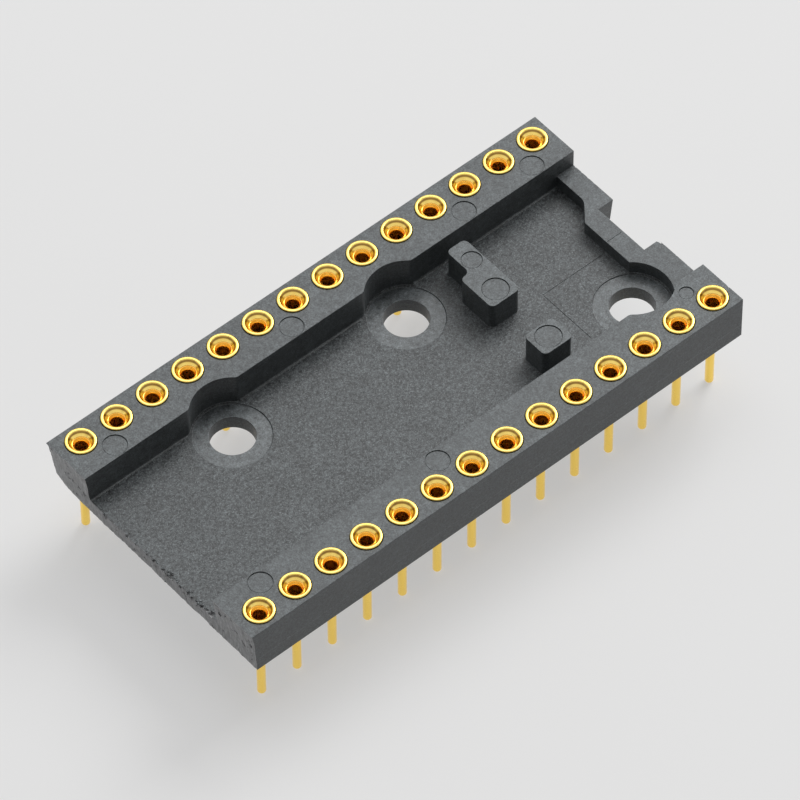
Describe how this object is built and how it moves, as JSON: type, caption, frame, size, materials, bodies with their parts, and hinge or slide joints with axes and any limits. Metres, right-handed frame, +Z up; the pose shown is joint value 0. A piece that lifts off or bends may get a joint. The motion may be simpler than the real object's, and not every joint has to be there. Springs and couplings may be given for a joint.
{
  "type": "ic socket",
  "caption": "Open-frame dual in-line socket with machined gold contacts, screw holes in its floor, and one rough end where it was broken from a longer strip.",
  "frame": {"origin": "centre of the contact grid, on the top face of the circuit board, where the contacts' shoulders rest", "axes": "+X along the rows towards the notched end, +Y across the rows towards contacts 15 to 28, +Z up, away from the board"},
  "size_m": [0.0359, 0.0176, 0.0076],
  "materials": {
    "glass_filled_plastic": "black glass-filled moulding, matte, with pale fibre specks and a rough broken end",
    "gold_sleeve": "gold plate over turned brass, bright in the cup and satin on the tails",
    "gold_clip": "gold plate over a sprung copper alloy clip"
  },
  "bodies": {
    "root": {"body": "glass_filled_plastic", "sleeve_01": "gold_sleeve", "sleeve_02": "gold_sleeve", "sleeve_03": "gold_sleeve", "sleeve_04": "gold_sleeve", "sleeve_05": "gold_sleeve", "sleeve_06": "gold_sleeve", "sleeve_07": "gold_sleeve", "sleeve_08": "gold_sleeve", "sleeve_09": "gold_sleeve", "sleeve_10": "gold_sleeve", "sleeve_11": "gold_sleeve", "sleeve_12": "gold_sleeve", "sleeve_13": "gold_sleeve", "sleeve_14": "gold_sleeve", "sleeve_15": "gold_sleeve", "sleeve_16": "gold_sleeve", "sleeve_17": "gold_sleeve", "sleeve_18": "gold_sleeve", "sleeve_19": "gold_sleeve", "sleeve_20": "gold_sleeve", "sleeve_21": "gold_sleeve", "sleeve_22": "gold_sleeve", "sleeve_23": "gold_sleeve", "sleeve_24": "gold_sleeve", "sleeve_25": "gold_sleeve", "sleeve_26": "gold_sleeve", "sleeve_27": "gold_sleeve", "sleeve_28": "gold_sleeve", "clip_01": "gold_clip", "clip_02": "gold_clip", "clip_03": "gold_clip", "clip_04": "gold_clip", "clip_05": "gold_clip", "clip_06": "gold_clip", "clip_07": "gold_clip", "clip_08": "gold_clip", "clip_09": "gold_clip", "clip_10": "gold_clip", "clip_11": "gold_clip", "clip_12": "gold_clip", "clip_13": "gold_clip", "clip_14": "gold_clip", "clip_15": "gold_clip", "clip_16": "gold_clip", "clip_17": "gold_clip", "clip_18": "gold_clip", "clip_19": "gold_clip", "clip_20": "gold_clip", "clip_21": "gold_clip", "clip_22": "gold_clip", "clip_23": "gold_clip", "clip_24": "gold_clip", "clip_25": "gold_clip", "clip_26": "gold_clip", "clip_27": "gold_clip", "clip_28": "gold_clip"}
  },
  "joints": []
}
